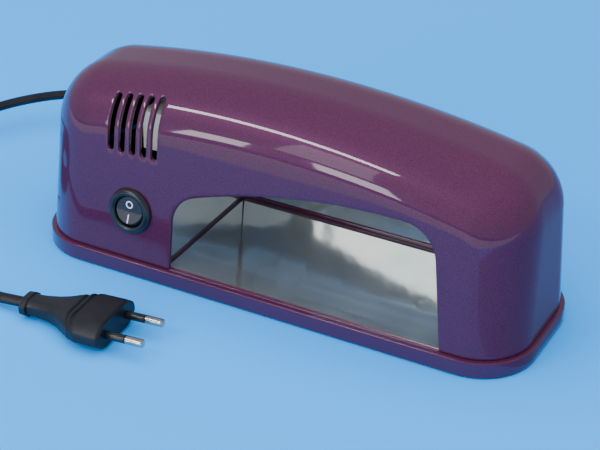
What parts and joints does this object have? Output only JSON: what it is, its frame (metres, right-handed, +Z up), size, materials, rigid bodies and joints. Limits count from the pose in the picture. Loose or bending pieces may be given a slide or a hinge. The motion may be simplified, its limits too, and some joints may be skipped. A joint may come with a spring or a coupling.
{
  "type": "uv nail lamp",
  "caption": "Tabletop UV nail curing lamp: glossy arched box with a mirrored hand chamber, an overhead fluorescent tube, a round rocker switch, vent slots and a coiled mains cord with plug.",
  "frame": {"origin": "centre of the housing's footprint on the surface that the feet stand on", "axes": "+X along the length, towards the hand opening's end; +Y from the open front to the back wall; +Z up"},
  "size_m": [0.3831, 0.2126, 0.1022],
  "materials": {
    "purple_plastic": "glossy moulded ABS, dark violet",
    "rubber": "matt moulded rubber feet",
    "screw_steel": "zinc plated pan-head screws",
    "mirror_film": "aluminised plastic film and foil, slightly crinkled",
    "white_plastic": "white moulded plastic",
    "tube_glass": "phosphor coated fluorescent tube",
    "nickel": "nickel plated brass pins",
    "black_plastic": "glossy black switch and sleeve plastic",
    "brass": "brass switch tabs",
    "bracket_steel": "zinc plated sheet steel",
    "core_iron": "stacked dark laminations",
    "winding_tape": "yellow polyester tape over the winding",
    "brown_wire": "brown single wire insulation",
    "blue_wire": "blue single wire insulation",
    "black_pvc": "flexible black PVC"
  },
  "bodies": {
    "lamp": {"housing_shell": "purple_plastic", "base_plate": "purple_plastic", "foot_front_left": "rubber", "foot_front_right": "rubber", "foot_rear_right": "rubber", "foot_rear_left": "rubber", "screw_front_left": "screw_steel", "screw_front_right": "screw_steel", "screw_rear_right": "screw_steel", "screw_rear_left": "screw_steel", "floor_mirror": "mirror_film", "left_bulkhead": "white_plastic", "left_mirror": "mirror_film", "right_bulkhead": "white_plastic", "right_mirror": "mirror_film", "reflector": "mirror_film", "uv_tube": "tube_glass", "tube_base": "white_plastic", "tube_pin_front": "nickel", "tube_pin_rear": "nickel", "lamp_holder": "white_plastic", "tube_clip": "white_plastic", "switch_body": "black_plastic", "switch_tab_lower": "brass", "switch_tab_upper": "brass", "choke_bracket": "bracket_steel", "choke_core": "core_iron", "choke_winding": "winding_tape", "terminal_block": "white_plastic", "wire_terminal_to_switch": "brown_wire", "wire_switch_to_choke": "brown_wire", "wire_choke_to_holder": "brown_wire", "wire_holder_to_terminal": "blue_wire", "cord_bushing": "black_pvc", "cord_tail": "black_pvc", "cord_rear": "black_pvc", "cord_coil": "black_pvc", "cord_tie": "black_pvc", "plug_body": "black_pvc", "plug_pin_front": "nickel", "plug_pin_rear": "nickel", "pin_sleeve_front": "black_plastic", "pin_sleeve_rear": "black_plastic", "cord_front": "black_pvc"},
    "rocker": {"switch_rocker": "black_plastic"}
  },
  "joints": [
    {"name": "rocker_press", "type": "hinge", "parent": "lamp", "child": "rocker", "pos_m": [-0.0715, -0.03601, 0.03337], "axis": [1, 0, 0], "range_deg": [0, 16]}
  ]
}
